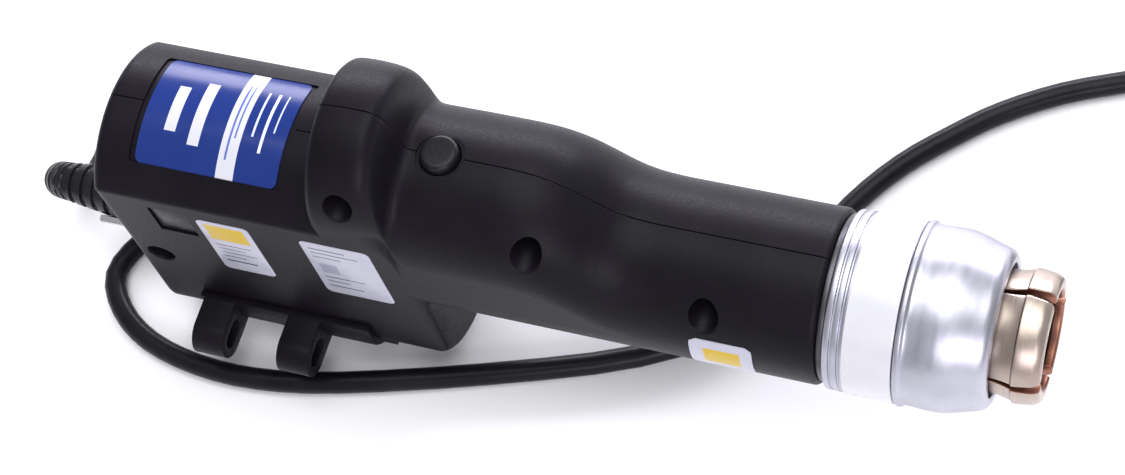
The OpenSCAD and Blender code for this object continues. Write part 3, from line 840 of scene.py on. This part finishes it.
def build_shell(side, name, node):
    v, f = build_shell_mesh(side)
    o = scratch(name, v, f)
    if side < 0:
        for x, z in SCREWS:
            cut(o, scratch("c", *cyl(x, z, 3.62, -40, -4)))
        cut(o, scratch("c", *boxmesh((-88.2, -22, 7.2), (-78.6, -18.35, 18.3))))
    lv, lf, _ = curved_slab(-91.6, -54.4, 14.35, 24.1, 26.5, 7.4, 0.8)
    cut(o, scratch("c", lv, lf))
    cut(o, scratch("c", *cyl(-20, 0, 4.75, 20, 40, 72, "z")))
    cut(o, scratch("c", *cyl(-20, 0, 5.55, 32.9, 40, 72, "z", 5.9)))
    o.data.materials.append(M_SHELL)
    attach(o, "tool")
    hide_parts(node)
    shade(o, 28.0)
    return o


shell_r = build_shell(-1, "shell_right", "housing_right")
shell_l = build_shell(1, "shell_left", "housing_left")


def build_wells():
    """The deep screw wells, each with a soft lip where it meets the curved wall."""
    verts, faces = [], []
    segs = 56
    for x, z in SCREWS:
        base = len(verts)
        rings = [(3.64, None, 0.02), (3.5, None, 0.10), (3.38, None, 0.28), (3.30, None, 0.60), (3.25, -6.6, 0), (1.7, -6.6, 0), (1.7, -6.2, 0)]
        for r, yy, dep in rings[:6]:
            for k in range(segs):
                a = 2 * math.pi * k / segs
                px, pz = x + r * math.cos(a), z + r * math.sin(a)
                y = yy if yy is not None else -(side_y(px, pz) - dep)
                verts.append(P(px, y, pz))
        for i in range(5):
            for k in range(segs):
                l = (k + 1) % segs
                faces.append((base + i * segs + k, base + (i + 1) * segs + k, base + (i + 1) * segs + l, base + i * segs + l))
    return obj_from("screw_wells", verts, faces, M_SHELL, "tool", (), 40.0)


wells = build_wells()

# ------------------------------------------------------------------ labels
BLUE = (0.010, 0.028, 0.17)
lv, lf, luv = curved_slab(-90.2, -55.8, 13.4, 24.16, 24.4, 7.4, 2.0)
W1 = (0.56, 0.56, 0.62)
M_LABEL = label_mat("label_art_blue", BLUE, [
    (0.575, 0.70, -1, 2, W1),
    (0.615, 0.63, 0.16, 0.84, (0.10, 0.14, 0.42)), (0.65, 0.662, 0.16, 0.66, (0.10, 0.14, 0.42)),
    (0.76, 0.775, 0.20, 0.62, (0.55, 0.60, 0.85)), (0.83, 0.85, 0.20, 0.74, (0.70, 0.73, 0.92)),
    (0.90, 0.91, 0.20, 0.56, (0.55, 0.60, 0.85)),
    (0.16, 0.24, 0.30, 0.70, W1), (0.34, 0.42, 0.22, 0.78, W1)])
obj_from("top_label_film", lv, lf, M_LABEL, "tool", ("top_label",), 40.0, luv)


def flat_label(name, node, x0, x1, z0, z1, mat, y=-19.5, corner=1.6):
    """Rounded plate on the flat side. u runs along z downwards, v along x."""
    loop = []
    for sx, sz, a0 in ((1, 1, 0), (-1, 1, 90), (-1, -1, 180), (1, -1, 270)):
        for k in range(9):
            a = (a0 + 90 * k / 8) * RAD
            loop.append(((x0 + x1) / 2 + sx * ((x1 - x0) / 2 - corner) + corner * math.cos(a),
                         (z0 + z1) / 2 + sz * ((z1 - z0) / 2 - corner) + corner * math.sin(a)))
    n = len(loop)
    verts, uvs = [], []
    for yy, sh in ((y - 0.02, 0.0), (y - 0.17, 0.0), (y - 0.20, 0.06)):
        for x, z in loop:
            cx, cz2 = (x0 + x1) / 2, (z0 + z1) / 2
            k = 1 - sh / max(x1 - x0, z1 - z0) * 2
            verts.append(P(cx + (x - cx) * k, yy, cz2 + (z - cz2) * k))
            uvs.append(((z1 - z) / (z1 - z0), (x - x0) / (x1 - x0)))
    faces = []
    for i in range(2):
        for k in range(n):
            l = (k + 1) % n
            faces.append((i * n + k, i * n + l, (i + 1) * n + l, (i + 1) * n + k))
    faces.append(tuple(range(n)))
    faces.append(tuple(2 * n + k for k in range(n)))
    return obj_from(name, verts, faces, mat, "tool", (node,), 40.0, uvs)


INK = (0.05, 0.05, 0.10)
PALE = (0.44, 0.44, 0.52)
YEL = (0.50, 0.34, 0.012)
M_RATE = label_mat("label_art_rating", PALE, [
    (0.06, 0.36, 0.12, 0.88, YEL), (0.46, 0.475, 0.14, 0.80, INK), (0.54, 0.552, 0.14, 0.66, INK),
    (0.62, 0.632, 0.14, 0.84, INK), (0.70, 0.712, 0.14, 0.58, INK), (0.79, 0.815, 0.14, 0.74, INK)])
M_APPR = label_mat("label_art_approval", PALE, [
    (0.10, 0.118, 0.10, 0.62, INK), (0.18, 0.195, 0.10, 0.78, INK), (0.26, 0.275, 0.10, 0.50, INK),
    (0.40, 0.58, 0.12, 0.38, (0.30, 0.30, 0.38)), (0.66, 0.674, 0.10, 0.70, INK), (0.74, 0.754, 0.10, 0.44, INK),
    (0.84, 0.856, 0.10, 0.60, INK)])
flat_label("rating_plate", "rating_label", -76.6, -63.7, -7.7, 17.4, M_RATE)
flat_label("approval_plate", "approval_label", -51.2, -34.4, -8.9, 17.6, M_APPR)


def barrel_plate():
    """Small plate wrapped on the side of the barrel."""
    x0, x1, z0, z1, R1 = 37.2, 51.3, -5.0, 6.4, 19.82
    verts, uvs = [], []
    nx, nz, c = 14, 12, 1.5
    for r in (R1, R1 - 0.25):
        for i in range(nz + 1):
            z = z0 + (z1 - z0) * i / nz
            dz = min(z - z0, z1 - z)
            ins = 0.0 if dz >= c else c - math.sqrt(max(0.0, c * c - (c - dz) ** 2))
            for k in range(nx + 1):
                x = (x0 + ins) + (x1 - x0 - 2 * ins) * k / nx
                th = math.asin(z / R1)
                verts.append(P(x, -r * math.cos(th), r * math.sin(th)))
                uvs.append(((x - x0) / (x1 - x0), (z - z0) / (z1 - z0)))
    n, m = nx + 1, nz + 1
    off = n * m
    faces = []
    for i in range(nz):
        for k in range(nx):
            faces.append((i * n + k, i * n + k + 1, (i + 1) * n + k + 1, (i + 1) * n + k))
            faces.append((off + i * n + k, off + (i + 1) * n + k, off + (i + 1) * n + k + 1, off + i * n + k + 1))
        for k in (0, nx):
            faces.append((i * n + k, (i + 1) * n + k, off + (i + 1) * n + k, off + i * n + k))
    for i in (0, nz):
        for k in range(nx):
            faces.append((i * n + k, off + i * n + k, off + i * n + k + 1, i * n + k + 1))
    M = label_mat("label_art_barrel", PALE, [(0.22, 0.80, 0.24, 0.78, YEL)])
    return obj_from("barrel_plate", verts, faces, M, "tool", ("barrel_label",), 40.0, uvs)


barrel_plate()

# ------------------------------------------------------------------ bracket, button, small parts
refine("saddle_bracket", 0.55, 3, 32.0, M_SHELL, "tool")
refine("port_cover", 0.12, 2, 30.0, M_TRIM, "tool")
refine("power_socket", 0.3, 2, 30.0, M_TRIM, "tool")


def turned_z(name, prof, x, mat, body, replaces, segs=72):
    n, verts, faces = len(prof), [], []
    for i in range(segs):
        a = 2 * math.pi * i / segs
        for r, z in prof:
            verts.append(P(x + r * math.cos(a), r * math.sin(a), z))
    for i in range(segs):
        j = (i + 1) % segs
        for k in range(n - 1):
            faces.append((i * n + k, j * n + k, j * n + k + 1, i * n + k + 1))
    top, bot = len(verts), len(verts) + 1
    verts += [P(x, 0, prof[0][1]), P(x, 0, prof[-1][1])]
    for i in range(segs):
        j = (i + 1) % segs
        faces.append((top, j * n, i * n))
        faces.append((bot, i * n + n - 1, j * n + n - 1))
    return obj_from(name, verts, faces, mat, body, replaces, 32.0)


turned_z("button_cap", [(1.2, 35.18), (2.6, 35.16), (3.5, 35.12), (3.78, 35.05), (3.96, 34.9), (4.12, 34.7), (4.25, 34.45),
                        (4.34, 34.15), (4.38, 33.8), (4.38, 29.8), (5.25, 29.8), (5.25, 28.95), (1.0, 28.95)],
         -20, M_TRIM, "start_button", ("start_button",))

# ------------------------------------------------------------------ head
lathe("adapter_ring", fillet([(13, 56, 0.2), (16.7, 56, 0.2), (16.7, 65.1, 0.1), (18.55, 65.1, 0.3), (18.55, 66.3, 0.2),
                              (16.9, 66.4, 0.1), (16.9, 80, 0.2), (13, 80, 0.2)], 2), M_DARK, 96, "tool", ("head_adapter",))
lathe("sleeve_turned", fillet([(16.9, 66.45, 0.05), (19.3, 66.45, 0.35), (19.85, 66.95, 0.3), (19.9, 68.05, 0.12), (19.52, 68.2, 0.08),
                               (19.52, 68.6, 0.08), (19.93, 68.75, 0.12), (19.95, 69.85, 0.12), (19.57, 70.0, 0.08), (19.57, 70.4, 0.08),
                               (19.92, 70.55, 0.12), (19.95, 81.6, 0.15), (19.75, 81.88, 0.1), (16.9, 81.88, 0.05)], 3),
      M_ALLOY, 160, "tool", ("head_sleeve",))
lathe("size_band_film", fillet([(19.96, 71.02, 0), (20.1, 71.02, 0.05), (20.14, 71.3, 0.08), (20.14, 81.4, 0.08), (20.1, 81.68, 0.05), (19.96, 81.68, 0)], 2),
      M_WHITE, 160, "tool", ("size_band",))


def bell_profile():
    pts = [(17.05, 82.02, 0.05), (20.1, 82.02, 0.15), (20.38, 82.35, 0.2), (20.38, 83.15, 0.2), (19.88, 83.7, 0.25)]
    curve = [(pchip_at([84.4, 86.0, 88.0, 90.0, 92.0, 94.0, 96.0, 98.0, 99.6],
                       [19.82, 19.87, 19.99, 20.02, 19.84, 19.42, 18.84, 18.24, 17.82], 84.4 + 15.2 * k / 38), 84.4 + 15.2 * k / 38)
             for k in range(39)]
    pts += [(r, x, 0.0) for r, x in curve]
    pts += [(17.45, 100.4, 0.5), (16.85, 101.05, 0.4), (16.15, 101.46, 0.25), (15.0, 101.46, 0.2), (14.72, 101.2, 0.2), (14.72, 99.5, 0.1), (17.05, 99.5, 0.1)]
    return fillet(pts, 4)


lathe("bell_turned", bell_profile(), M_ALLOY, 176, "tool", ("head_bell",), smooth=24.0)


# ------------------------------------------------------------------ jaws
def gap(x):
    return (0.12 + math.tan(4.05 * RAD) * (x - 96)) / math.cos(4.05 * RAD)


def build_jaw(i, a_deg):
    prof = fillet([(11.6, 100.2, 0.15), (13.45, 100.2, 0.3), (13.5, 102.2, 0.8), (13.9, 104.4, 0.8), (14.35, 105.9, 0.3),
                   (14.78, 106.15, 0.2), (14.72, 107.4, 0.8), (14.3, 110.4, 0.6), (13.6, 111.7, 0.35), (13.1, 112.0, 0.25),
                   (11.2, 112.0, 0.35), (10.8, 111.5, 0.3), (10.8, 110.2, 0.3), (11.6, 109.4, 0.3)], 3)
    n, cols = len(prof), 36
    verts, faces, idx = [], [], []
    a0 = a_deg * RAD

    def place(x, r, phi):
        y, z = -r * math.sin(phi + a0), r * math.cos(phi + a0)
        return P(x, y, z)
    for c in range(cols + 1):
        for r, x in prof:
            lim = math.acos(min(1.0, gap(x) / r)) - 45 * RAD
            verts.append(place(x, r, -lim + 2 * lim * c / cols))
    for c in range(cols):
        for k in range(n):
            l = (k + 1) % n
            faces.append((c * n + k, (c + 1) * n + k, (c + 1) * n + l, c * n + l))
            rm = (prof[k][0] + prof[l][0]) / 2
            outer = rm > 13.0 or (prof[k][1] > 111.9 and prof[l][1] > 111.9)
            idx.append(0 if outer else 1)
    faces.append(tuple(range(n - 1, -1, -1)))
    faces.append(tuple(cols * n + k for k in range(n)))
    idx += [1, 1]
    o = scratch("jaw_finger_%d" % (i + 1), verts, faces)
    o.data.materials.append(M_TAN)
    o.data.materials.append(M_COPPER)
    for p, k in zip(o.data.polygons, idx):
        p.material_index = k
    bevel(o, 0.16, 2, 50.0)

    def local(x, y, r):           # the jaw's own axes: r outwards, y across
        return P(x, -r * math.sin(a0) + y * math.cos(a0), r * math.cos(a0) + y * math.sin(a0))
    ex_v, ex_f = [], []

    def add_box(x0, x1, y0, y1, r0, r1):
        b = len(ex_v)
        for x in (x0, x1):
            for y in (y0, y1):
                for r in (r0, r1):
                    ex_v.append(local(x, y, r))
        ex_f.extend([tuple(b + q for q in t) for t in ((0, 1, 3, 2), (4, 6, 7, 5), (0, 4, 5, 1), (2, 3, 7, 6), (0, 2, 6, 4), (1, 5, 7, 3))])

    def add_barrel(x, r, rad, y0, y1, segs=32, bore=0.0):
        b = len(ex_v)
        for y in (y0, y1):
            for k in range(segs):
                t = 2 * math.pi * k / segs
                ex_v.append(local(x + rad * math.cos(t), y, r + rad * math.sin(t)))
        for k in range(segs):
            l = (k + 1) % segs
            ex_f.append((b + k, b + l, b + segs + l, b + segs + k))
        ex_f.append(tuple(b + k for k in range(segs)))
        ex_f.append(tuple(b + segs + k for k in range(segs - 1, -1, -1)))
    add_barrel(96, 10.5, 2.3, -4, 4)
    add_box(96.2, 100.6, -3.98, 3.98, 10.5, 12.75)
    add_box(98.4, 101, -3.96, 3.96, 11.3, 12.9)
    add_box(87, 96.4, -2.5, 2.5, 8.9, 10.7)
    add_barrel(87, 9.2, 1.5, -2.5, 2.5, 24)
    ex = scratch("jaw_arm_%d" % (i + 1), ex_v, ex_f)
    ex.data.materials.append(M_TAN)
    bevel(ex, 0.12, 2, 50.0)
    body = "jaw_%d" % (i + 1)
    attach(o, body)
    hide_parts(body)
    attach(ex, body)
    return o


for i, a in enumerate((30, 120, 210, 300)):
    build_jaw(i, a)

lathe("ejector_disc", fillet([(0.02, 105.5, 0), (8.9, 105.5, 0.2), (9.3, 105.8, 0.2), (9.3, 106.8, 0.2), (9.0, 107.0, 0.15), (6.2, 107.0, 0.3),
                              (6.0, 106.6, 0.2), (2.4, 106.6, 0.2), (2.2, 106.9, 0.2), (0.02, 106.9, 0)], 3), M_STEEL, 96, "ejector", ("ejector",))
lathe("ejector_stem", [(0.02, 78.0), (1.7, 78.0), (2.0, 78.3), (2.0, 105.55), (0.02, 105.55)], M_STEEL, 40, "ejector", ())

# ------------------------------------------------------------------ springs, built at one fixed length
def spring(name, node, r, wire, h, turns, at):
    path = []
    n = 28 * turns
    for i in range(n + 1):
        a = 2 * math.pi * turns * i / n
        c, q, w = r * math.cos(a), r * math.sin(a), wire + (h - 2 * wire) * i / n
        path.append(at(c, q, w))
    v, f = tube_rings(path, [wire] * len(path), 14)
    o = obj_from(name, v, f, M_STEEL, "tool", (node,), 50.0)
    base, up = np.array(P(*at(0, 0, 0))), np.array(P(*at(0, 0, 1)))
    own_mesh(o)
    return o


spring("button_coil", "button_spring", 3.0, 0.3, 4.15, 3, lambda c, q, w: (-20 + c, q, 24.6 + w))
spring("ejector_coil", "ejector_spring", 2.9, 0.33, 5.6, 4, lambda c, q, w: (99.6 + w, c, q))

# ------------------------------------------------------------------ stage and light
def plane(name, size, z, mat):
    me = bpy.data.meshes.new(name)
    s = size
    me.from_pydata([(-s, -s, z), (s, -s, z), (s, s, z), (-s, s, z)], [], [(0, 1, 2, 3)])
    me.materials.append(mat)
    o = bpy.data.objects.new(name, me)
    bpy.context.scene.collection.objects.link(o)
    return o


m_floor, nt, b = new_mat("floor_white")
nt.links.new(ramp(nt, noise(nt, coords(nt), 6.0, 2.0), [(0.3, (0.90, 0.90, 0.91)), (0.7, (0.92, 0.92, 0.93))]), b.inputs["Base Color"])
b.inputs["Roughness"].default_value = 0.9
plane("floor", 4.0, -0.0002, m_floor)

world = bpy.data.worlds.new("studio")
world.use_nodes = True
bg = world.node_tree.nodes["Background"]
bg.inputs["Color"].default_value = (0.96, 0.97, 1.0, 1.0)
bg.inputs["Strength"].default_value = 0.56
bpy.context.scene.world = world


def area(name, loc, target, size, power, color=(1, 1, 1), size_y=None):
    d = bpy.data.lights.new(name, "AREA")
    d.shape = "RECTANGLE"
    d.size = size
    d.size_y = size_y or size
    d.energy = power
    d.color = color
    o = bpy.data.objects.new(name, d)
    bpy.context.scene.collection.objects.link(o)
    o.location = loc
    o.rotation_euler = (Vector(target) - Vector(loc)).to_track_quat("-Z", "Y").to_euler()
    return o


area("front_right", (0.50, -0.95, 0.60), (0.0, 0.0, 0.05), 0.70, 7.0, (0.95, 0.92, 1.0), 0.50)
area("back_low", (-0.10, 0.90, 0.35), (0.0, 0.0, 0.05), 1.2, 15.0, (0.93, 0.90, 1.0), 0.3)
area("top_soft", (0.10, 0.10, 1.20), (0.0, 0.0, 0.05), 1.0, 12.0, (1.0, 1.0, 1.0))
bpy.context.scene.view_settings.view_transform = "Standard"
